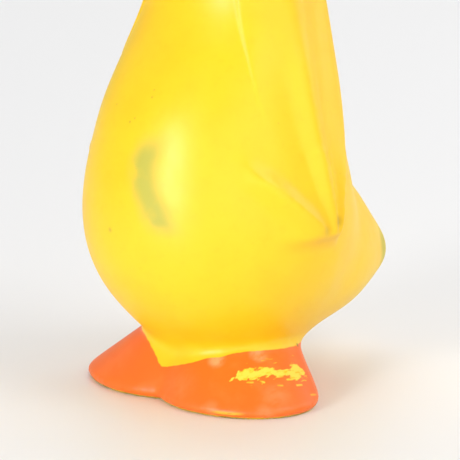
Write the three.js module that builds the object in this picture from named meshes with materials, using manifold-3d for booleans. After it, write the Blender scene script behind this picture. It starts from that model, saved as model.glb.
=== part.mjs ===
// A chick figurine, rotocast in vinyl as one hollow shell with an open vent in its sole.
// Millimetres, +Z up. The chick faces -Y and its left side is +X.
// The origin is on the sole plane, on the axis of the ankle.

import * as THREE from "three";
import { mergeVertices } from "three/addons/utils/BufferGeometryUtils.js";
import Module from "manifold-3d";

const wasm = await Module();
wasm.setup();

// Overall sizes
const figureHeight = 196;
const wall = 2.2;
const soleThickness = 2.8;

// Body: half width at the side, and how far the belly and the back reach from the ankle axis
const bodyHalfWidth = 43;
const bellyReach = 45.5;
const backReach = 42.5;
const bodyFootZ = 12;
const bellyZ = 55;

// Head and beak
const headHalfWidth = 35;
const headHalfDepth = 34;
const headHalfHeight = 33.5;
const headSetBack = 2;
const neckOverlap = 10.5;
const neckCrown = 14;
const beakLength = 17;
const beakHalfWidth = 11;
const beakHalfHeight = 8.5;
const beakRoot = 7;
const beakDrop = 6;

// Tail
const tailReach = 70;
const tailSetIn = 7;
const tailRise = 37;
const tailFall = 23;
const tailTipZ = 33.5;
const tailRootY = 10;
const tailRootZ = 40;

// Wings
const wingTopZ = 136;
const wingTipZ = 54;
const wingTipY = 2;
const wingTipProud = 2.2;
const wingTurn = THREE.MathUtils.degToRad(10);

// Ankle and feet
const ankleRadius = 22.3;
const ankleTopZ = 24;
const ankleFlare = 2;
const footReach = 35;
const footHalfLength = 21.7;
const footHalfWidth = 27.5;
const footOutset = 14.9;
const footSplay = THREE.MathUtils.degToRad(6.4);
const footTopZ = 22;
const instepReach = 16.6;
const instepHalfLength = 16;
const instepHalfWidth = 16;
const instepOutset = 4.4;
const instepSwell = 0.3;
const soleEdge = 2.4;

// Vent, where the casting leaves its mould
const ventRadius = 6;
const ventMargin = 1.1;

// Facets around each shape: the skin is finer than the hollow, which nobody sees
const skinFacets = { around: 48, along: 22, limbAround: 28, limbAlong: 11 };
const hollowFacets = { around: 24, along: 12, limbAround: 16, limbAlong: 6 };

// Shape tables, as shares of the sizes above
// Level from ankle (-1) through belly (0) to neck (1), then the shares of half width, belly reach and
// back reach, which narrow to the ankle radius below the belly
const bodyLevels = [
  [-1.0, 0.861, 0.879, 1.013],
  [-0.916, 0.94, 0.949, 1.192],
  [-0.849, 0.995, 0.98, 1.365],
  [-0.744, 1.073, 1.055, 1.42],
  [-0.628, 1.123, 1.109, 1.348],
  [-0.465, 1.145, 1.129, 1.232],
  [-0.256, 1.101, 1.092, 1.085],
  [0.0, 0.995, 0.993, 0.908],
  [0.13, 0.974, 0.985, 0.842],
  [0.272, 0.919, 0.932, 0.774],
  [0.438, 0.837, 0.831, 0.729],
  [0.568, 0.767, 0.686, 0.699],
  [0.686, 0.698, 0.532, 0.685],
  [0.793, 0.642, 0.437, 0.671],
  [0.899, 0.602, 0.404, 0.649],
  [1.0, 0.598, 0.431, 0.64],
];
// Station from tail root to tip, then the shares of its half width, its rise and its fall
const tailStations = [
  [0.0, 1.0, 1.0, 1.0],
  [0.2, 0.958, 0.986, 1.022],
  [0.367, 0.861, 0.914, 0.935],
  [0.533, 0.708, 0.741, 0.761],
  [0.7, 0.522, 0.5, 0.539],
  [0.833, 0.361, 0.303, 0.37],
  [0.95, 0.181, 0.141, 0.191],
];
// Station from wing top to tip, then how far it is set in from the tip, its place along the body, and
// its half width and thickness
const wingStations = [
  [0.0, 27, 3.5, 10, 4],
  [0.146, 22.5, 3.2, 13.4, 4.6],
  [0.317, 17.8, 2.6, 13.4, 4.8],
  [0.463, 14.6, 1.7, 13.8, 6],
  [0.561, 12.8, -0.6, 15.2, 7.2],
  [0.683, 11.3, -3.9, 17.6, 8.5],
  [0.78, 9, -2.8, 15.5, 7.4],
  [0.878, 5.4, -2, 10.5, 5],
  [0.963, 2.7, 0.5, 4.5, 3.2],
];
// Station from beak root to tip, then the share of its half width and half height
const beakStations = [
  [0.0, 1.0],
  [0.3, 0.9],
  [0.6, 0.66],
  [0.85, 0.36],
  [0.96, 0.16],
];

const headCentre = new THREE.Vector3(0, headSetBack, figureHeight - headHalfHeight);
const neckZ = headCentre.z - headHalfHeight + neckOverlap;
const up = new THREE.Vector3(0, 0, 1);

// A smooth function through the rows of a table: the first number of a row is where it holds
function curveThrough(rows) {
  const places = rows.map((row) => row[0]);
  const values = rows.flatMap((row) => row.slice(1));
  const curve = new THREE.CubicInterpolant(places, values, rows[0].length - 1);
  return (place) => Array.from(curve.evaluate(place));
}

// Evenly spaced places over the rows of a table
function placesOver(rows, count) {
  const first = rows[0][0];
  const last = rows.at(-1)[0];
  return Array.from({ length: count }, (_, i) => first + ((last - first) * i) / (count - 1));
}

// A closed solid from a mesh whose faces point outwards
function solidOf(geometry) {
  geometry.deleteAttribute("normal");
  geometry.deleteAttribute("uv");
  const merged = mergeVertices(geometry, 1e-4);
  return new wasm.Manifold(
    new wasm.Mesh({
      numProp: 3,
      vertProperties: merged.getAttribute("position").array,
      triVerts: new Uint32Array(merged.index.array),
    }),
  );
}

// A closed skin over a row of rings. A ring has a centre and three half axes: one across, and one
// each way at a right angle to it, with across x above pointing back along the row.
function skinOver(rings, start, end, around) {
  const geometry = new THREE.SphereGeometry(1, around, rings.length + 1);
  const position = geometry.getAttribute("position");
  const point = new THREE.Vector3();
  for (let row = 0; row <= rings.length + 1; row++) {
    for (let column = 0; column <= around; column++) {
      const angle = (2 * Math.PI * (column % around)) / around;
      if (row === 0) point.copy(start);
      else if (row > rings.length) point.copy(end);
      else {
        const ring = rings[row - 1];
        const sine = Math.sin(angle);
        point.copy(ring.centre).addScaledVector(ring.across, Math.cos(angle));
        point.addScaledVector(sine > 0 ? ring.above : ring.below, Math.abs(sine));
      }
      position.setXYZ(row * (around + 1) + column, point.x, point.y, point.z);
    }
  }
  return solidOf(geometry);
}

// The pear of the belly and back, leaning into the neck
function body(inset, facets) {
  const shape = curveThrough(bodyLevels);
  const rings = placesOver(bodyLevels, facets.along)
    .reverse()
    .map((level) => {
      const [side, front, back] = shape(level);
      const z = THREE.MathUtils.lerp(bellyZ, level < 0 ? bodyFootZ : neckZ, Math.abs(level));
      const below = Math.max(0, -level);
      const narrowed = (size) => THREE.MathUtils.lerp(size, ankleRadius, below);
      // The underside slopes, so its wall measures more when taken level
      const setIn = inset * (1 + below);
      return {
        centre: new THREE.Vector3(0, 0, z),
        across: new THREE.Vector3(side * narrowed(bodyHalfWidth) - setIn, 0, 0),
        above: new THREE.Vector3(0, back * narrowed(backReach) - setIn, 0),
        below: new THREE.Vector3(0, setIn - front * narrowed(bellyReach), 0),
      };
    });
  const crown = new THREE.Vector3(0, 0, neckZ + neckCrown);
  return skinOver(rings, crown, rings.at(-1).centre, facets.around);
}

// The blunt tail, drawn out of the back
function tail(inset, facets) {
  const shape = curveThrough(tailStations);
  const halfWidth = bodyHalfWidth - tailSetIn;
  const tip = new THREE.Vector3(0, tailReach - 2 * inset, tailTipZ);
  const root = new THREE.Vector3(0, tailRootY + inset, tailRootZ);
  const rings = placesOver(tailStations, facets.limbAlong)
    .reverse()
    .map((station) => {
      const [side, rise, fall] = shape(station);
      return {
        centre: new THREE.Vector3().lerpVectors(root, tip, station),
        across: new THREE.Vector3(Math.max(side * halfWidth - inset, 1), 0, 0),
        above: new THREE.Vector3(0, 0, Math.min(inset - fall * tailFall, -1)),
        below: new THREE.Vector3(0, 0, Math.max(rise * tailRise - inset, 1)),
      };
    });
  return skinOver(rings, tip, root, facets.limbAround);
}

// The round head
function head(inset, facets) {
  const geometry = new THREE.SphereGeometry(1, facets.around, facets.along);
  geometry.rotateX(Math.PI / 2);
  geometry.scale(headHalfWidth - inset, headHalfDepth - inset, headHalfHeight - inset);
  geometry.translate(headCentre.x, headCentre.y, headCentre.z);
  return solidOf(geometry);
}

// The short beak, solid because the vinyl fills so small a point
function beak(facets) {
  const shape = curveThrough(beakStations);
  const rootY = headCentre.y - headHalfDepth + beakRoot;
  const root = new THREE.Vector3(0, rootY, headCentre.z - beakDrop);
  const tip = new THREE.Vector3(0, rootY - beakRoot - beakLength, root.z - beakDrop / 2);
  const rings = placesOver(beakStations, facets.limbAlong).map((station) => {
    const [share] = shape(station);
    return {
      centre: new THREE.Vector3().lerpVectors(root, tip, station),
      across: new THREE.Vector3(share * beakHalfWidth, 0, 0),
      above: new THREE.Vector3(0, 0, -share * beakHalfHeight),
      below: new THREE.Vector3(0, 0, share * beakHalfHeight),
    };
  });
  return skinOver(rings, root, tip, facets.limbAround);
}

// A folded wing on one side: its face lies along the body and only its tip stands clear
function wing(side, facets) {
  const shape = curveThrough(wingStations);
  const tipX = bodyHalfWidth + wingTipProud;
  const outward = new THREE.Vector3(side * Math.cos(wingTurn), -Math.sin(wingTurn), 0);
  const across = new THREE.Vector3().crossVectors(outward, up);
  const rings = placesOver(wingStations, facets.limbAlong).map((station) => {
    const [setIn, y, halfWidth, thickness] = shape(station);
    const z = THREE.MathUtils.lerp(wingTopZ, wingTipZ, station);
    return {
      centre: new THREE.Vector3(side * (tipX - setIn), y, z),
      across: across.clone().multiplyScalar(halfWidth),
      above: outward.clone().multiplyScalar(thickness),
      below: outward.clone().multiplyScalar(-thickness),
    };
  });
  const tip = new THREE.Vector3(side * tipX, wingTipY, wingTipZ);
  return skinOver(rings, rings[0].centre, tip, facets.limbAround);
}

// The short round ankle under the belly, flared onto the sole
function ankle(inset, floorZ, facets) {
  const foot = ankleRadius + ankleFlare - inset;
  const outline = [
    new THREE.Vector2(0, floorZ),
    new THREE.Vector2(foot - soleEdge, floorZ),
    new THREE.Vector2(foot, floorZ + soleEdge),
    new THREE.Vector2(ankleRadius - inset, (floorZ + ankleTopZ) / 2),
    new THREE.Vector2(ankleRadius - inset, ankleTopZ),
    new THREE.Vector2(0, ankleTopZ),
  ];
  const geometry = new THREE.LatheGeometry(outline, facets.around);
  geometry.rotateX(Math.PI / 2);
  return solidOf(geometry);
}

// A broad foot on one side, rising from its rounded edge to the ankle
function foot(side, inset, floorZ, facets) {
  const toe = new THREE.Vector3(side * Math.sin(footSplay), -Math.cos(footSplay), 0);
  const heel = toe.clone().negate();
  const across = new THREE.Vector3().crossVectors(heel, up);
  const outward = across.clone().multiplyScalar(side);
  const ringAt = (z, edge) => {
    const share = Math.max(0, (z - soleEdge) / (footTopZ - soleEdge));
    const swell = instepSwell * Math.sin(Math.PI * share) - edge - inset;
    const halfLength = THREE.MathUtils.lerp(footHalfLength, instepHalfLength, share);
    const halfWidth = THREE.MathUtils.lerp(footHalfWidth, instepHalfWidth, share);
    const reach = THREE.MathUtils.lerp(footReach, instepReach, share);
    const outset = THREE.MathUtils.lerp(footOutset, instepOutset, share);
    const centre = toe.clone().multiplyScalar(reach - halfLength);
    centre.addScaledVector(outward, outset).setZ(z);
    return {
      centre,
      across: across.clone().multiplyScalar(halfWidth + swell),
      above: heel.clone().multiplyScalar(halfLength + swell),
      below: toe.clone().multiplyScalar(halfLength + swell),
    };
  };
  const rings = [ringAt(floorZ, soleEdge), ringAt(floorZ + soleEdge * 0.3, soleEdge * 0.3)];
  for (let i = 0; i < facets.limbAlong; i++) {
    const share = i / (facets.limbAlong - 1);
    rings.push(ringAt(THREE.MathUtils.lerp(floorZ + soleEdge, footTopZ, share), 0));
  }
  rings.reverse();
  return skinOver(rings, rings[0].centre, rings.at(-1).centre, facets.limbAround);
}

// The vent through the sole
function vent() {
  const geometry = new THREE.CylinderGeometry(ventRadius, ventRadius, 4 * soleThickness, 24);
  geometry.rotateX(Math.PI / 2);
  const ventY = ankleRadius - wall - ventRadius - ventMargin;
  geometry.translate(0, ventY, 0);
  return solidOf(geometry);
}

const joined = (solids) => solids.reduce((whole, solid) => whole.add(solid));

const skin = joined([
  body(0, skinFacets),
  tail(0, skinFacets),
  head(0, skinFacets),
  beak(skinFacets),
  wing(1, skinFacets),
  wing(-1, skinFacets),
  ankle(0, 0, skinFacets),
  foot(1, 0, 0, skinFacets),
  foot(-1, 0, 0, skinFacets),
]);

// The flanks of the feet slope, and the vinyl gathers in the crease between them, so their wall
// measures more when taken level
const slopingWall = 1.9 * wall;
const hollow = joined([
  body(wall, hollowFacets),
  tail(wall, hollowFacets),
  head(wall, hollowFacets),
  ankle(wall, soleThickness, hollowFacets),
  foot(1, slopingWall, soleThickness, hollowFacets),
  foot(-1, slopingWall, soleThickness, hollowFacets),
]);

const shell = skin.subtract(hollow).subtract(vent()).getMesh();

const shellGeometry = new THREE.BufferGeometry();
shellGeometry.setAttribute("position", new THREE.BufferAttribute(shell.vertProperties, 3));
shellGeometry.setIndex(new THREE.BufferAttribute(shell.triVerts, 1));
shellGeometry.computeVertexNormals();

const yellowVinyl = new THREE.MeshStandardMaterial({ color: 0xfee035, roughness: 0.4, metalness: 0 });
const figurineShell = new THREE.Mesh(shellGeometry, yellowVinyl);
figurineShell.name = "figurine_shell";

const figurine = new THREE.Group();
figurine.add(figurineShell);

export default figurine;
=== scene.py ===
from math import acos, atan2, cos, pi, radians, sin

import bmesh
import bpy
import numpy as np
from mathutils import Matrix, Vector


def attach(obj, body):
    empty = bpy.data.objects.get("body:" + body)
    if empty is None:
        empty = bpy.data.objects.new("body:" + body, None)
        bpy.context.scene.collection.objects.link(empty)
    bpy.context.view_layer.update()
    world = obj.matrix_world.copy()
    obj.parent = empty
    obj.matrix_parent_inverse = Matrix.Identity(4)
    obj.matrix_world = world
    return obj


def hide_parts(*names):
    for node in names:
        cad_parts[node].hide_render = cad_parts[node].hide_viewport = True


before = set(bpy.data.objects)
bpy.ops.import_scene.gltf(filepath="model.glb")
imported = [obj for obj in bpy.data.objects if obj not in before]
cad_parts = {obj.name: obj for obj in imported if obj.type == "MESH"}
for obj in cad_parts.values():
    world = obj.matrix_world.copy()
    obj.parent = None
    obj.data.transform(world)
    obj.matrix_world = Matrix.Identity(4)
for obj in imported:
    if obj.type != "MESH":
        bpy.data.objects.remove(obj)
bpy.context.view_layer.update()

# ---------------------------------------------------------------------------------------------------
# The casting: one hollow shell of yellow vinyl, turned in a heated mould until the vinyl lines it, and
# pulled out through the vent in its sole. It is shaped here as plump lumps that run into each other,
# and then the folds of the wings are pressed into its sides.

MM = 0.001
FINE_GRAIN = 1.0 * MM      # mesh step of the skin
HOLLOW_GRAIN = 2.8 * MM    # mesh step of the hollow, seen only through the vent
WALL = 2.2
SOLE = 2.8


# A smooth function through the rows of a table: the first number of a row is where it holds
def curve_through(rows):
    at = np.array([row[0] for row in rows], float)
    values = np.array([row[1:] for row in rows], float)
    slopes = np.gradient(values, at, axis=0)

    def curve(place):
        i = int(np.clip(np.searchsorted(at, place) - 1, 0, len(at) - 2))
        span = at[i + 1] - at[i]
        t = min(max((place - at[i]) / span, 0.0), 1.0)
        ahead = t * t * (3 - 2 * t)
        return (values[i] * (1 - ahead) + values[i + 1] * ahead
                + span * t * (1 - t) * ((1 - t) * slopes[i] - t * slopes[i + 1]))

    return curve


# A closed lump over a row of rings. A ring is its centre and three half axes: one across, and one
# each way at a right angle to it.
def lump_over(casting, rings, start, end, around):
    lump = bmesh.ops.create_uvsphere(casting, u_segments=around, v_segments=len(rings) + 1, radius=1)
    for vert in lump["verts"]:
        row = round(acos(min(1, max(-1, vert.co.z))) / pi * (len(rings) + 1))
        if row == 0:
            vert.co = start
        elif row > len(rings):
            vert.co = end
        else:
            turn = atan2(vert.co.y, vert.co.x)
            centre, across, above, below = rings[row - 1]
            vert.co = centre + across * cos(turn) + (above if turn > 0 else below) * abs(sin(turn))


# The pear of the belly and back: height, half width, reach of the belly and reach of the back
BODY_LEVELS = [
    (12, 19.2, 19.6, 22.6), (15.6, 22.6, 23.0, 28.6), (18.5, 25.3, 25.3, 34.6), (23, 29.6, 29.8, 39),
    (28, 33.7, 34.3, 40.2), (35, 38.2, 39.2, 40.8), (44, 41.5, 43.2, 40.5), (55, 42.8, 45.2, 38.6),
    (66, 41.9, 44.8, 36.4), (78, 39.5, 42.4, 33.2), (92, 36, 37.8, 31), (103, 33, 31.2, 29.7),
    (113, 30, 24.2, 29.1), (122, 27.6, 19.9, 28.5), (131, 25.9, 18.4, 27.6), (139.5, 25.7, 19.6, 27.2),
]
BELLY_Z = 55
NECK_Z = 139.5
NECK_CROWN = 14


def body(casting, inset, around, along):
    shape = curve_through(BODY_LEVELS)
    rings = []
    for z in np.linspace(NECK_Z, BODY_LEVELS[0][0], along):
        side, front, back = shape(z)
        set_in = inset * (1 + max(0, BELLY_Z - z) / (BELLY_Z - BODY_LEVELS[0][0]))
        rings.append((Vector((0, 0, z)), Vector((side - set_in, 0, 0)),
                      Vector((0, back - set_in, 0)), Vector((0, set_in - front, 0))))
    lump_over(casting, rings, Vector((0, 0, NECK_Z + NECK_CROWN)), rings[-1][0], around)


# The blunt tail: share of the way from root to tip, half width, rise and fall
TAIL_STATIONS = [
    (0, 36, 37, 23), (0.2, 34.5, 36.5, 23.5), (0.367, 31, 34.3, 21.5), (0.533, 25.5, 28.4, 17.5),
    (0.7, 18.8, 18.5, 12.4), (0.833, 13, 11.2, 8.5), (0.95, 6.5, 5.2, 4.4),
]
TAIL_ROOT = Vector((0, 10, 40))
TAIL_TIP = Vector((0, 70, 33.5))


def tail(casting, inset, around, along):
    shape = curve_through(TAIL_STATIONS)
    tip = TAIL_TIP - Vector((0, 2 * inset, 0))
    root = TAIL_ROOT + Vector((0, inset, 0))
    rings = []
    for station in np.linspace(0, TAIL_STATIONS[-1][0], along):
        side, rise, fall = shape(station)
        rings.append((root.lerp(tip, station), Vector((max(side - inset, 1), 0, 0)),
                      Vector((0, 0, max(rise - inset, 1))), Vector((0, 0, min(inset - fall, -1)))))
    lump_over(casting, rings, root, tip, around)


# The round head, with the short beak and the raised ovals of the eyes
HEAD_CENTRE = Vector((0, 2, 162.5))
HEAD_HALF = Vector((35, 34, 33.5))
BEAK_STATIONS = [(0, 1), (0.3, 0.9), (0.6, 0.66), (0.85, 0.36), (0.96, 0.16)]
BEAK_ROOT = Vector((0, -25, 156.5))
BEAK_TIP = Vector((0, -49, 153.5))
BEAK_HALF_WIDTH, BEAK_HALF_HEIGHT = 11, 8.5
EYE_SPOT = Vector((14.5, -26.6, 169))
EYE_HALF = Vector((3.1, 2.2, 4.2))


def head(casting, inset, around):
    half = HEAD_HALF - Vector((inset, inset, inset))
    bmesh.ops.create_uvsphere(casting, u_segments=around, v_segments=around // 2, radius=1,
                              matrix=Matrix.LocRotScale(HEAD_CENTRE, None, half))


def beak(casting, around, along):
    shape = curve_through(BEAK_STATIONS)
    rings = []
    for station in np.linspace(0, BEAK_STATIONS[-1][0], along):
        share = shape(station)[0]
        rings.append((BEAK_ROOT.lerp(BEAK_TIP, station), Vector((share * BEAK_HALF_WIDTH, 0, 0)),
                      Vector((0, 0, share * BEAK_HALF_HEIGHT)), Vector((0, 0, -share * BEAK_HALF_HEIGHT))))
    lump_over(casting, rings, BEAK_ROOT, BEAK_TIP, around)


# The short ankle, flared onto the sole, and the broad feet that rise to it from a rounded edge
ANKLE_RADIUS = 22.3
ANKLE_TOP = 24
ANKLE_FLARE = 2
FOOT_SPLAY = radians(6.4)
FOOT_HEIGHT = 22
FOOT_HALF_LENGTH, INSTEP_HALF_LENGTH = 21.7, 16.0
FOOT_HALF_WIDTH, INSTEP_HALF_WIDTH = 27.5, 16.0
FOOT_REACH, INSTEP_REACH = 34.6, 16.2
FOOT_OUTSET, INSTEP_OUTSET = 14.9, 4.4
INSTEP_SWELL = 0.3
SOLE_EDGE = 2.4


def ankle(casting, inset, floor, around):
    foot_radius = ANKLE_RADIUS + ANKLE_FLARE - inset
    outline = [(floor, foot_radius - SOLE_EDGE), (floor + SOLE_EDGE, foot_radius),
               ((floor + ANKLE_TOP) / 2, ANKLE_RADIUS - inset), (ANKLE_TOP, ANKLE_RADIUS - inset)]
    rings = [(Vector((0, 0, z)), Vector((r, 0, 0)), Vector((0, r, 0)), Vector((0, -r, 0)))
             for z, r in reversed(outline)]
    lump_over(casting, rings, rings[0][0], rings[-1][0], around)


def foot(casting, side, inset, floor, around, along):
    toe = Vector((side * sin(FOOT_SPLAY), -cos(FOOT_SPLAY), 0))
    out = Vector((side * cos(FOOT_SPLAY), sin(FOOT_SPLAY), 0))
    levels = [(floor, SOLE_EDGE), (floor + 0.3 * SOLE_EDGE, 0.3 * SOLE_EDGE)]
    levels += [(z, 0) for z in np.linspace(floor + SOLE_EDGE, FOOT_HEIGHT, along)]
    rings = []
    for z, edge in reversed(levels):
        share = max(0, (z - SOLE_EDGE) / (FOOT_HEIGHT - SOLE_EDGE))
        swell = INSTEP_SWELL * sin(pi * share) - edge - inset
        half_length = FOOT_HALF_LENGTH + (INSTEP_HALF_LENGTH - FOOT_HALF_LENGTH) * share
        half_width = FOOT_HALF_WIDTH + (INSTEP_HALF_WIDTH - FOOT_HALF_WIDTH) * share
        reach = FOOT_REACH + (INSTEP_REACH - FOOT_REACH) * share
        outset = FOOT_OUTSET + (INSTEP_OUTSET - FOOT_OUTSET) * share
        centre = toe * (reach - half_length) + out * outset + Vector((0, 0, z))
        long_way = toe * (half_length + swell)
        rings.append((centre, out * (half_width + swell), -long_way, long_way))
    lump_over(casting, rings, rings[0][0], rings[-1][0], around)


# A mesh in metres from lumps in millimetres, run together on an even grain
def run_together(casting, name, grain):
    bmesh.ops.recalc_face_normals(casting, faces=casting.faces)
    bmesh.ops.scale(casting, vec=(MM, MM, MM), verts=casting.verts)
    mesh = bpy.data.meshes.new(name)
    casting.to_mesh(mesh)
    casting.free()
    lumps = bpy.data.objects.new(name, mesh)
    bpy.context.scene.collection.objects.link(lumps)
    grain_step = lumps.modifiers.new("run together", "REMESH")
    grain_step.mode = "VOXEL"
    grain_step.voxel_size = grain
    return settle(lumps)


# The object with its modifiers worked into its mesh
def settle(lumps):
    shaped = bpy.data.meshes.new_from_object(lumps.evaluated_get(bpy.context.evaluated_depsgraph_get()))
    lumps.modifiers.clear()
    lumps.data = shaped
    return lumps


def points_of(lumps):
    flat = np.empty(3 * len(lumps.data.vertices))
    lumps.data.vertices.foreach_get("co", flat)
    return flat.reshape(-1, 3) / MM


def move_points(lumps, points):
    lumps.data.vertices.foreach_set("co", (points * MM).ravel())
    lumps.data.update()


# Softens the skin by its weights, from 0 to 1
def soften(lumps, weights, rounds):
    group = lumps.vertex_groups.new(name="soft")
    levels = np.round(weights * 20).astype(int)
    for level in range(1, 21):
        members = np.flatnonzero(levels == level)
        if len(members):
            group.add(members.tolist(), level / 20, "REPLACE")
    smooth = lumps.modifiers.new("soften", "SMOOTH")
    smooth.vertex_group = group.name
    smooth.factor = 0.5
    smooth.iterations = rounds
    settle(lumps)
    lumps.vertex_groups.clear()


def ramp(values, low, high):
    t = np.clip((values - low) / (high - low), 0, 1)
    return t * t * (3 - 2 * t)


skin = bmesh.new()
body(skin, 0, 96, 60)
tail(skin, 0, 64, 40)
head(skin, 0, 96)
beak(skin, 48, 24)
for side in (1, -1):
    eye = Vector((side * EYE_SPOT.x, EYE_SPOT.y, EYE_SPOT.z))
    bmesh.ops.create_uvsphere(skin, u_segments=32, v_segments=16, radius=1,
                              matrix=Matrix.LocRotScale(eye, None, EYE_HALF))
    foot(skin, side, 0, 0, 96, 30)
ankle(skin, 0, 0, 96)
chick = run_together(skin, "chick_figurine", FINE_GRAIN)

# The vinyl rounds every place where two lumps meet, and keeps the small points firm
x, y, z = points_of(chick).T
neck = 1 - ramp(np.abs(z - 139), 7, 16)
under_belly = ramp(z, 6, 10) * (1 - ramp(z, 24, 32))
tail_root = ramp(y, 6, 16) * (1 - ramp(y, 38, 56)) * ramp(z, 12, 18) * (1 - ramp(z, 84, 100))
between_feet = (1 - ramp(np.abs(x), 3, 9)) * (1 - ramp(y, -22, -16)) * ramp(z, 1.5, 5) * (1 - ramp(z, 20, 26))
soften(chick, tail_root, 210)
soften(chick, np.maximum.reduce([neck, under_belly * 0.8, between_feet * 0.8]), 57)
soften(chick, np.full(len(x), 1.0), 6)

# The folds of the wing on each side. A level is its height, then nine places from front to back along
# the body, and how proud of the body each stands: where the wing starts, the lower ridge, the panel
# behind it, the lip of the front edge, the dip behind the lip, the upper ridge, the valley, the rear
# rim, and where the wing ends.
WING_LEVELS = [
    (140, (-18, -16, -13.2, -12.2, -6, 1.5, 13.5, 21, 24.5), (0, 0, 0, 0, 0, 0, 0, 0, 0)),
    (131, (-19, -17, -13.8, -12.8, -6.5, 1.5, 13.5, 21, 25), (0, 0, 0, 0.35, 0.1, 0.6, 0.1, 1.8, 0)),
    (122, (-20, -18, -14.6, -13.6, -7, 1.3, 13, 20.8, 25.5), (0, 0, 0, 0.5, 0.15, 1.5, 0.1, 2.9, 0)),
    (113, (-21, -19.5, -15.9, -14.9, -7.8, 0.5, 10.5, 20.5, 25.5), (0, 0, 0, 0.55, 0.2, 2.1, 0.2, 2.9, 0)),
    (104, (-22, -20.5, -17.1, -16.1, -7.8, -0.4, 8, 20, 25), (0, 0, 0, 0.5, 0.25, 2.9, 0.25, 2.7, 0)),
    (96, (-24, -21.5, -17.4, -16.4, -7.2, -1, 6.3, 19, 24), (0, 0, 0, 0.4, 0.3, 3.2, 0.3, 2.5, 0)),
    (88, (-26, -23.5, -16.6, -15.4, -6.6, -1.3, 5.6, 17, 22), (0, 0, 0.1, 0.35, 0.35, 3.4, 0.4, 2.3, 0)),
    (84, (-28, -25, -18.8, -14.6, -6.2, -1.1, 5.3, 15.5, 20.5), (0, 0, 0.1, 0.5, 0.4, 3.5, 0.5, 2.2, 0)),
    (80, (-29, -25, -18, -13.4, -5.8, -0.9, 5.1, 14, 18.5), (0, 0.3, 0.3, 0.5, 0.5, 3.6, 0.6, 2.2, 0)),
    (76, (-28.5, -22.3, -14.8, -11.2, -5.3, -0.5, 4.9, 12, 16), (0, 1.3, 0.6, 0.7, 0.7, 3.7, 0.8, 2.3, 0)),
    (72, (-27, -18.9, -11.5, -9, -4.8, -0.2, 4.7, 10, 13.4), (0, 3.0, 0.9, 0.9, 1, 3.4, 1, 2.5, 0)),
    (66, (-22.5, -12.9, -7.6, -6, -3.6, 0.4, 4.2, 7.6, 10.4), (0, 3.9, 1.4, 1.3, 1.4, 3.5, 1.4, 2.8, 0)),
    (60, (-19, -5.8, -3.2, -2.4, -1.4, 1.3, 3.5, 5.6, 8.2), (0, 3.4, 2.3, 2.2, 2.3, 3.5, 2.2, 3.1, 0)),
    (57, (-18.5, -3, -1.8, -1.2, -0.4, 1.6, 3.1, 4.8, 7.2), (0, 3.3, 2.6, 2.5, 2.6, 3.5, 2.6, 3.2, 0)),
    (54.8, (-18.5, -2.6, -1.6, -0.9, -0.1, 1.5, 2.8, 4, 6.4), (0, 3, 3, 3, 3, 3.1, 3, 3, 0)),
    (52.2, (-18.5, -2.6, -1.6, -0.9, -0.1, 1.5, 2.8, 4, 6.4), (0, 0.7, 0.8, 0.8, 0.8, 0.8, 0.8, 0.7, 0)),
    (49.5, (-18.5, -2.6, -1.6, -0.9, -0.1, 1.5, 2.8, 4, 6.4), (0, 0, 0, 0, 0, 0, 0, 0, 0)),
]


# Where the lip of the wing's front edge is, at a height
def lip_place(z):
    upwards = WING_LEVELS[::-1]
    return np.interp(z, [level[0] for level in upwards], [level[1][3] for level in upwards])


def wing_relief(y, z):
    heights = np.array([level[0] for level in reversed(WING_LEVELS)], float)
    places = np.array([level[1] for level in reversed(WING_LEVELS)], float)
    prouds = np.array([level[2] for level in reversed(WING_LEVELS)], float)
    place = np.array([np.interp(z, heights, places[:, i]) for i in range(9)])
    proud = np.array([np.interp(z, heights, prouds[:, i], left=0, right=0) for i in range(9)])
    relief = np.zeros(len(y))
    for i in range(8):
        here = (y >= place[i]) & (y < place[i + 1])
        t = np.clip((y - place[i]) / (place[i + 1] - place[i]), 0, 1)
        t = t * t * (3 - 2 * t)
        relief[here] = (proud[i] + (proud[i + 1] - proud[i]) * t)[here]
    return relief


def side_normals(lumps):
    flat = np.empty(3 * len(lumps.data.vertices))
    lumps.data.vertices.foreach_get("normal", flat)
    return flat.reshape(-1, 3)


# The skin is drawn finer at the wing tips and along the front lips, where the folds are small
fine = bmesh.new()
fine.from_mesh(chick.data)


def on_small_fold(vert):
    x, y, z = vert.co / MM
    at_tip = abs(x) > 30 and -24 < y < 13 and 49 < z < 80
    at_lip = abs(x) > 16 and 88 < z < 138 and -3.5 < y - lip_place(z) < 2.5
    return at_tip or at_lip


small_folds = {vert for vert in fine.verts if on_small_fold(vert)}
bmesh.ops.subdivide_edges(fine, edges=[edge for edge in fine.edges if all(v in small_folds for v in edge.verts)],
                          cuts=1, use_grid_fill=True)
fine.to_mesh(chick.data)
fine.free()

points = points_of(chick)
x, y, z = points.T
on_side = ramp(np.abs(x), 10, 16) * (z < 141) * (z > 49)
points += side_normals(chick) * (wing_relief(y, z) * on_side)[:, None]
move_points(chick, points)
x, y, z = points.T
on_wing = (ramp(np.abs(x), 12, 18) * ramp(y, -36, -32) * (1 - ramp(y, 24, 29))
           * ramp(z, 47, 49) * (1 - ramp(z, 140, 143)))
firm_tip = 0.6 * (1 - ramp(np.hypot(y - 1, z - 57), 3, 8))
firm_lip = 0.85 * (1 - ramp(np.abs(y - lip_place(z) + 0.5), 1.2, 2.6)) * ramp(z, 88, 98)
soften(chick, on_wing * (1 - np.maximum(firm_tip, firm_lip)), 8)
soften(chick, on_wing * (1 - firm_lip) * ramp(np.hypot(y - 1, z - 57), 5, 11), 18)

# The sole is flat, so that the chick stands
points = points_of(chick)
lift = ramp(points[:, 2], 0.25, 1.0)
points[:, 2] = np.maximum(points[:, 2], 0) * lift
move_points(chick, points)

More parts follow.
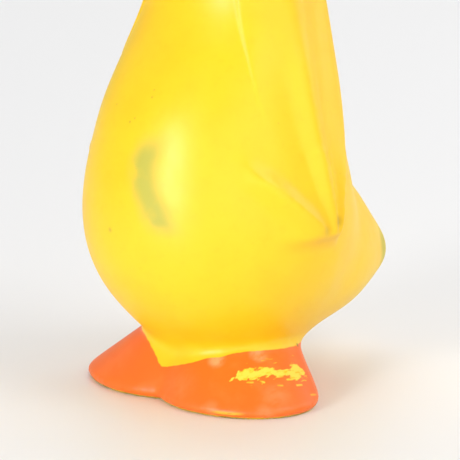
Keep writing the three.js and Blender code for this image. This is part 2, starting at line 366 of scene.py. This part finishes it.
# The hollow inside follows the skin, one wall in, and opens through the vent
hollow = bmesh.new()
body(hollow, WALL, 48, 30)
tail(hollow, WALL, 32, 20)
head(hollow, WALL, 48)
ankle(hollow, WALL, SOLE, 48)
for side in (1, -1):
    foot(hollow, side, 1.9 * WALL, SOLE, 32, 12)
inside = run_together(hollow, "inside", HOLLOW_GRAIN)

VENT_RADIUS = 6
VENT_PLACE = Vector((0, 13, 0))
bore = bmesh.new()
bmesh.ops.create_cone(bore, cap_ends=True, segments=64, radius1=VENT_RADIUS * MM, radius2=VENT_RADIUS * MM,
                      depth=4 * SOLE * MM, matrix=Matrix.Translation(VENT_PLACE * MM))
bore_mesh = bpy.data.meshes.new("vent")
bore.to_mesh(bore_mesh)
bore.free()
vent = bpy.data.objects.new("vent", bore_mesh)
bpy.context.scene.collection.objects.link(vent)

for cutter in (inside, vent):
    cut = chick.modifiers.new("hollow", "BOOLEAN")
    cut.operation = "DIFFERENCE"
    cut.solver = "MANIFOLD"
    cut.object = cutter
settle(chick)
for cutter in (inside, vent):
    bpy.data.objects.remove(cutter)

chick.data.shade_smooth()
chick.data.set_sharp_from_angle(angle=radians(50))

# The finish, worked out in millimetres on the casting itself
vinyl = bpy.data.materials.new("yellow_vinyl")
vinyl.use_nodes = True
finish = vinyl.node_tree
surface = finish.nodes["Principled BSDF"]


def put(socket, value):
    if isinstance(value, bpy.types.NodeSocket):
        finish.links.new(value, socket)
    else:
        socket.default_value = value


def node(kind, inputs, **settings):
    made = finish.nodes.new(kind)
    for name, value in settings.items():
        setattr(made, name, value)
    for socket, value in zip(made.inputs, inputs):
        put(socket, value)
    return made


def reckon(operation, *numbers):
    return node("ShaderNodeMath", numbers, operation=operation).outputs[0]


# From 0 at one value to 1 at the other, eased
def fade(value, start, end):
    return node("ShaderNodeMapRange", (value, start, end, 0.0, 1.0), interpolation_type="SMOOTHSTEP").outputs[0]


def all_of(*shares):
    whole = shares[0]
    for share in shares[1:]:
        whole = reckon("MULTIPLY", whole, share)
    return whole


def but(share):
    return reckon("SUBTRACT", 1.0, share)


# Uneven patches about as wide as the size, and drawn out where the stretch is below 1
def patches(size, detail=2.0, stretch=(1, 1, 1)):
    drawn = node("ShaderNodeVectorMath", (spot, stretch), operation="MULTIPLY").outputs[0]
    made = node("ShaderNodeTexNoise", ())
    put(made.inputs["Vector"], drawn)
    made.inputs["Scale"].default_value = 1 / size
    made.inputs["Detail"].default_value = detail
    return made.outputs[0]


# A smooth line through points, along a value between its first and last point
def line_through(value, points):
    first, last = points[0][0], points[-1][0]
    low, high = min(p[1] for p in points), max(p[1] for p in points)
    share = node("ShaderNodeMapRange", (value, first, last, 0.0, 1.0)).outputs[0]
    made = node("ShaderNodeFloatCurve", (1.0, share))
    curve = made.mapping.curves[0]
    for i, (at, height) in enumerate(points):
        place = ((at - first) / (last - first), (height - low) / (high - low))
        if i in (0, len(points) - 1):
            curve.points[-1 if i else 0].location = place
        else:
            curve.points.new(*place)
    for point in curve.points:
        point.handle_type = "AUTO_CLAMPED"
    made.mapping.update()
    return node("ShaderNodeMapRange", (made.outputs[0], 0.0, 1.0, low, high)).outputs[0]


# How far a point of the casting is from a place, in millimetres
def away_from(place):
    return node("ShaderNodeVectorMath", (spot, place), operation="DISTANCE").outputs[1]


def lay_over(under, over, share):
    made = node("ShaderNodeMix", (share,), data_type="RGBA")
    put(made.inputs[6], under)
    put(made.inputs[7], over)
    return made.outputs[2]


place = finish.nodes.new("ShaderNodeTexCoord").outputs["Object"]
scaled = finish.nodes.new("ShaderNodeVectorMath")
scaled.operation = "SCALE"
put(scaled.inputs[0], place)
scaled.inputs["Scale"].default_value = 1 / MM
spot = scaled.outputs[0]
apart = node("ShaderNodeSeparateXYZ", (spot,))
left, back, height = apart.outputs
turn = reckon("DEGREES", reckon("ARCTAN2", left, reckon("MULTIPLY", back, -1.0)))    # 0 in front, 90 on its left
out = reckon("SQRT", reckon("ADD", reckon("MULTIPLY", left, left), reckon("MULTIPLY", back, back)))

# The vinyl is coloured all through, a little cloudy, with dark specks moulded in
YELLOW = (0.95, 0.61, 0.009, 1)
DEEP_YELLOW = (0.94, 0.55, 0.005, 1)
SPECK = (0.33, 0.22, 0.03, 1)
colour = lay_over(YELLOW, DEEP_YELLOW, all_of(fade(patches(22, 3), 0.42, 0.7), 0.55))
colour = lay_over(colour, DEEP_YELLOW, all_of(fade(patches(3.2, 3), 0.5, 0.78), 0.35))
specks = node("ShaderNodeTexVoronoi", (), feature="F1")
put(specks.inputs["Vector"], spot)
specks.inputs["Scale"].default_value = 1 / 6
speck_kind = node("ShaderNodeSeparateColor", (specks.outputs["Color"],)).outputs[0]
speckled = all_of(fade(specks.outputs["Distance"], 0.055, 0.025), fade(speck_kind, 0.8, 0.82), 0.3)
for where, size, depth in (
        ((-3.8, -45, 55.6), 1.2, 0.4), ((-0.8, -39.3, 88.3), 0.6, 0.45), ((0.8, -38.8, 89.6), 0.5, 0.4),
        ((4.6, -35.3, 96), 0.6, 0.4), ((4.3, -34.1, 98), 0.5, 0.35), ((-9.7, -36.3, 92.1), 0.5, 0.35)):
    speckled = reckon("MAXIMUM", speckled, all_of(fade(away_from(where), size, 0.2 * size), depth))
colour = lay_over(colour, SPECK, speckled)

# Green stains: a crescent on the belly and a smear at the tip of the tail
GREEN = (0.52, 0.47, 0.055, 1)
stained_line = line_through(height, [
    (54, 23), (58, 20.6), (61, 18.5), (64, 16.9), (68, 13.7), (72, 11.3), (76.5, 10.3), (80, 11.3), (84, 13.5), (90, 17.5)])
off_line = reckon("ABSOLUTE", reckon("SUBTRACT", turn, stained_line))
crescent = all_of(fade(off_line, 10.5, 1.0), fade(height, 55.0, 61.0), fade(height, 88.0, 79.0),
                  fade(patches(7, 2), 0.1, 0.5))
smear = all_of(fade(away_from((15.5, 56, 37)), 9.5, 2.0), fade(patches(6, 2), 0.2, 0.5), 0.8)
stained = reckon("MAXIMUM", crescent, smear)
colour = lay_over(colour, GREEN, stained)

# Painted shade: the small folds at the tips of the wings are darkened, and a painted shadow lies along the crease
# under each wing
FOLD_SHADE = (0.55, 0.33, 0.01, 1)
SHADOW_YELLOW = (0.93, 0.47, 0.004, 1)
painted_fold_shade = 0.0
for where, size, depth in (((45.4, 2.8, 58.6), 2.8, 0.7), ((46, -2.2, 56.4), 2.6, 0.4)):
    painted_fold_shade = reckon("MAXIMUM", painted_fold_shade, all_of(fade(away_from(where), size, 0.2), depth))
# Painted shadow: a deeper orange-yellow band along the crease under the wing
UNDER_WING = 52.3
off_crease = reckon("ABSOLUTE", reckon("SUBTRACT", height, UNDER_WING))
painted_wing_shadow = all_of(fade(off_crease, 3.6, 0.3), fade(back, -20.0, -10.0), fade(back, 7.0, 3.0),
                fade(reckon("ABSOLUTE", left), 36.0, 38.0), 0.4)
colour = lay_over(lay_over(colour, SHADOW_YELLOW, painted_wing_shadow), FOLD_SHADE, painted_fold_shade)

# Orange paint, sprayed on the feet up to a masked line that dips between them, and on the beak
ORANGE = (0.96, 0.170, 0.012, 1)
PALE_ORANGE = (0.98, 0.215, 0.032, 1)
masked_line = line_through(turn, [
    (-180, 14.0), (-150, 14.8), (-120, 15.4), (-95, 16.2), (-75, 16.8), (-60, 17.0), (-46.9, 16.9), (-37.7, 16.6),
    (-28, 15.4), (-20.1, 13.8), (-12.6, 11.9), (-6.3, 10.0), (-3.1, 9.6), (1.1, 10.0), (5.9, 10.6), (17.9, 12.2),
    (25.5, 13.4), (32.4, 14.5), (37.2, 14.9), (42.5, 15.3), (47.9, 16.1), (54.4, 16.6), (64.1, 16.9), (75.5, 16.7),
    (86.6, 16.4), (100.6, 15.8), (120, 15.4), (150, 14.8), (180, 14.0)])
unevenness = reckon("MULTIPLY", reckon("SUBTRACT", patches(2.5, 2), 0.5), 0.5)
on_feet = fade(reckon("SUBTRACT", reckon("ADD", height, unevenness), masked_line), 0.15, -0.15)
beak_oval = reckon("ADD", reckon("POWER", reckon("DIVIDE", left, 12.5), 2.0),
                   reckon("POWER", reckon("DIVIDE", reckon("SUBTRACT", height, 156.0), 10.0), 2.0))
on_beak = all_of(fade(beak_oval, 1.02, 0.96), fade(back, -20.0, -22.0))
painted = reckon("MAXIMUM", all_of(on_feet, fade(reckon("ADD", height, unevenness), 0.45, 0.8)), on_beak)


# How far a point of the casting is from a straight scratch, in millimetres
def away_from_line(start, end):
    start, run = Vector(start), Vector(end) - Vector(start)
    along = node("ShaderNodeVectorMath", (spot, start), operation="SUBTRACT").outputs[0]
    share = node("ShaderNodeVectorMath", (along, run / run.length_squared), operation="DOT_PRODUCT").outputs[1]
    share = node("ShaderNodeClamp", (share, 0.0, 1.0)).outputs[0]
    nearest = node("ShaderNodeVectorMath", (run, share), operation="MULTIPLY").outputs[0]
    return node("ShaderNodeVectorMath", (along, nearest), operation="DISTANCE").outputs[1]


# The paint is rubbed off the top of the left foot in one ragged patch, between an inner and an outer
# line, with flecks and scratches round it
patch_inner = line_through(turn, [
    (45, 34.4), (47.2, 33.3), (51, 32.5), (53.4, 31.4), (57.9, 31.3), (62.2, 31.8), (66.7, 32.0), (71, 32.5),
    (74.6, 33.2), (78.6, 33.4), (83, 32.5), (88, 32.0), (90.2, 32.6), (92, 34.6)])
patch_outer = line_through(turn, [
    (45, 33.3), (47.2, 33.6), (50.7, 34.1), (54.7, 34.3), (59.6, 34.9), (63.9, 34.9), (68.2, 34.6), (72, 34.8),
    (75.6, 35.3), (79.7, 35.9), (83.5, 35.8), (89.4, 34.6), (92, 33.4)])
rough_edge = reckon("MULTIPLY", reckon("SUBTRACT", patches(1.3, 4, (1, 0.4, 1)), 0.5), 4.5)
depth_in = reckon("MINIMUM", reckon("SUBTRACT", out, patch_inner), reckon("SUBTRACT", patch_outer, out))
on_left_foot = all_of(fade(turn, 44.5, 45.5), fade(turn, 92.5, 91.5),
                      fade(height, 2.0, 3.0), fade(height, 16.0, 15.0))
rubbed = fade(reckon("ADD", depth_in, rough_edge), -0.25, 0.3)
streaks = fade(patches(1.5, 2, (0.7, 0.22, 1.6)), 0.63, 0.70)
scratched = all_of(streaks, fade(turn, 56.0, 62.0), fade(depth_in, -4.5, -2.0), 0.8)
for start, end, half_width, depth in (
        ((37.5, -6.5, 7.7), (37.6, -4.5, 7.4), 0.55, 0.9), ((40.2, -3.2, 4.5), (39.1, 0.1, 3.6), 0.45, 0.55),
        ((35.5, -12.8, 8.5), (36.1, -11.5, 8.4), 0.45, 0.6), ((29.4, -19.8, 9.7), (30.5, -18.6, 9.7), 0.5, 0.7),
        ((31.9, -16.6, 10.1), (32.6, -15.8, 9.5), 0.6, 0.9), ((35.2, -8.5, 9.3), (35.8, -6.8, 9.3), 0.6, 0.9)):
    off_scratch = reckon("ADD", away_from_line(start, end), reckon("MULTIPLY", rough_edge, 0.2))
    scratched = reckon("MAXIMUM", scratched, all_of(fade(off_scratch, half_width, 0.3 * half_width), depth))
edge_worn = all_of(fade(turn, 38.0, 43.0), fade(turn, 54.0, 49.0), fade(height, 1.2, 1.6), fade(height, 2.6, 2.0),
                   fade(patches(2.2, 3, (0.5, 0.5, 1)), 0.36, 0.5), 0.55)
worn = reckon("MAXIMUM", all_of(on_left_foot, reckon("MAXIMUM", rubbed, scratched)), edge_worn)
paint = all_of(painted, but(worn))
SCUFFED_YELLOW = (0.97, 0.71, 0.07, 1)
HIGHLIGHT_AND_SCUFF_ORANGE = (0.98, 0.40, 0.17, 1)
bared = lay_over(SCUFFED_YELLOW, DEEP_YELLOW, fade(patches(1.2, 3, (1, 0.4, 1)), 0.5, 0.7))
colour = lay_over(colour, bared, all_of(painted, worn))
orange = lay_over(ORANGE, PALE_ORANGE, all_of(fade(patches(8, 3), 0.45, 0.75), 0.7))
# Pale spots on the orange: painted highlights at the fold above the left foot, on its front and along its lower
# edge, and one paler scuff on the left foot
highlights_and_scuff = 0.0
for where, size, depth in (
        ((17.3, -21.1, 14.5), 3.6, 0.9), ((25.8, -11.5, 15.9), 3.6, 0.8), ((10.1, -29.5, 6.9), 8.0, 0.12),
        ((37.3, -15.9, 6.5), 6.0, 0.25), ((24.8, -31.1, 2.9), 4.0, 0.25), ((38.8, -21.7, 2.9), 4.0, 0.25)):
    highlights_and_scuff = reckon("MAXIMUM", highlights_and_scuff, all_of(fade(away_from(where), size, 0.2 * size), depth))
orange = lay_over(orange, HIGHLIGHT_AND_SCUFF_ORANGE, all_of(highlights_and_scuff, fade(patches(2, 3, (1, 0.5, 1)), 0.2, 0.6)))
colour = lay_over(colour, orange, paint)
colour = lay_over(colour, SPECK, all_of(fade(away_from((25.4, 6.0, 15.6)), 0.9, 0.3), 0.8))

# The bare sole is grubby and painted darker as shade where it meets the floor, and the eyes are a spot of black
# paint on their raised ovals
SOLE_GRIME_AND_SHADE = (0.42, 0.30, 0.03, 1)
EYE_BLACK = (0.012, 0.011, 0.010, 1)
colour = lay_over(colour, SOLE_GRIME_AND_SHADE, all_of(fade(height, 1.0, 0.4), fade(patches(9, 3), 0.2, 0.8)))
sideways = reckon("SUBTRACT", reckon("ABSOLUTE", left), EYE_SPOT.x)
eye_oval = reckon("ADD", reckon("POWER", reckon("DIVIDE", sideways, 2.9), 2.0),
                  reckon("POWER", reckon("DIVIDE", reckon("SUBTRACT", height, EYE_SPOT.z), 4.0), 2.0))
eyes = all_of(fade(eye_oval, 1.05, 0.95), fade(back, -18.0, -20.0))
colour = lay_over(colour, EYE_BLACK, eyes)
put(surface.inputs["Base Color"], colour)

# Satin, a little duller where it is worn, and faintly dimpled like all soft vinyl
satin = reckon("ADD", 0.34, reckon("MULTIPLY", patches(5, 3), 0.14))
satin = reckon("ADD", satin, reckon("MULTIPLY", reckon("MAXIMUM", worn, stained), 0.2))
satin = reckon("SUBTRACT", satin, reckon("MULTIPLY", eyes, 0.2))
put(surface.inputs["Roughness"], satin)
relief = reckon("ADD", reckon("MULTIPLY", patches(1.3, 2), 0.5), reckon("MULTIPLY", patches(6, 2), 0.9))
relief = reckon("ADD", relief, reckon("MULTIPLY", paint, 0.5))
dimples = node("ShaderNodeBump", ())
dimples.inputs["Strength"].default_value = 0.35
dimples.inputs["Distance"].default_value = 0.08 * MM
put(dimples.inputs["Height"], relief)
put(surface.inputs["Normal"], dimples.outputs[0])
surface.inputs["Specular IOR Level"].default_value = 0.48
surface.inputs["Subsurface Weight"].default_value = 0.15
surface.inputs["Subsurface Radius"].default_value = (1.0, 0.7, 0.15)
surface.inputs["Subsurface Scale"].default_value = 3 * MM
chick.data.materials.clear()
chick.data.materials.append(vinyl)

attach(chick, "root")
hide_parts("figurine_shell")

# ---------------------------------------------------------------------------------------------------
# The floor: a wide sheet of smooth pale studio paper, lying flat under the chick.

FLOOR_HALF = 6.0
sheet = bmesh.new()
bmesh.ops.create_grid(sheet, x_segments=1, y_segments=1, size=FLOOR_HALF)
floor_mesh = bpy.data.meshes.new("floor")
sheet.to_mesh(floor_mesh)
sheet.free()
floor = bpy.data.objects.new("floor", floor_mesh)
bpy.context.scene.collection.objects.link(floor)
paper = bpy.data.materials.new("studio_paper")
paper.use_nodes = True
paper.node_tree.nodes["Principled BSDF"].inputs["Base Color"].default_value = (0.85, 0.845, 0.84, 1)
paper.node_tree.nodes["Principled BSDF"].inputs["Roughness"].default_value = 0.45
paper.node_tree.nodes["Principled BSDF"].inputs["Specular IOR Level"].default_value = 0.45
floor_mesh.materials.append(paper)

# ---------------------------------------------------------------------------------------------------
# The light: a pale room that is dimmer behind the camera, a tall softbox to the left of the camera, a
# broad one above the floor behind the chick, a weak one behind it, and a high and a low one on the
# right that light the wing, the tail and the feet.

room = bpy.data.worlds.new("pale room")
room.use_nodes = True
walls = room.node_tree
facing = walls.nodes.new("ShaderNodeVectorMath")
facing.operation = "DOT_PRODUCT"
facing.inputs[1].default_value = (0.707, -0.707, 0)
walls.links.new(walls.nodes.new("ShaderNodeTexCoord").outputs["Generated"], facing.inputs[0])
dimming = walls.nodes.new("ShaderNodeMapRange")
dimming.interpolation_type = "SMOOTHSTEP"
for socket, value in zip(list(dimming.inputs)[1:5], (0.0, 0.75, 0.36, 0.28)):
    socket.default_value = value
walls.links.new(facing.outputs["Value"], dimming.inputs[0])
walls.links.new(dimming.outputs[0], walls.nodes["Background"].inputs["Strength"])
walls.nodes["Background"].inputs["Color"].default_value = (0.97, 0.98, 1, 1)
bpy.context.scene.world = room


def softbox(name, place, aim, width, height, power):
    light = bpy.data.lights.new(name, "AREA")
    light.shape = "RECTANGLE"
    light.size, light.size_y = width, height
    light.energy = power
    box = bpy.data.objects.new(name, light)
    box.location = place
    box.rotation_euler = (Vector(aim) - Vector(place)).to_track_quat("-Z", "Y").to_euler()
    bpy.context.scene.collection.objects.link(box)


softbox("tall softbox", (0.14, -1.3, 0.26), (0, 0, 0.075), 0.34, 0.72, 13.2)
softbox("broad softbox", (-1.15, 1.15, 1.7), (-1.15, 1.15, 0), 2.4, 2.4, 31.5)
softbox("rear softbox", (0.55, 1.25, 0.6), (0, 0, 0.06), 0.8, 0.8, 4)
softbox("high softbox", (1.1, 0.25, 1.3), (0, 0, 0.06), 0.9, 0.9, 9.5)
softbox("low softbox", (1.2, -0.5, 0.35), (0, 0, 0.04), 1.4, 0.7, 4.4)

# ---------------------------------------------------------------------------------------------------
# The camera: a long lens, a little above the chick and half way between its face and its left side.

AIM = Vector((1.096, 1.096, 48.84)) * MM
TOWARDS_CAMERA = Vector((0.68899, -0.68899, 0.22495))
lens = bpy.data.cameras.new("camera")
lens.lens = 252.45
lens.sensor_width = 36
lens.clip_start, lens.clip_end = 0.05, 50
camera = bpy.data.objects.new("camera", lens)
camera.location = AIM + TOWARDS_CAMERA
camera.rotation_euler = (-TOWARDS_CAMERA).to_track_quat("-Z", "Y").to_euler()
bpy.context.scene.collection.objects.link(camera)
bpy.context.scene.camera = camera
bpy.context.scene.view_settings.view_transform = "Standard"
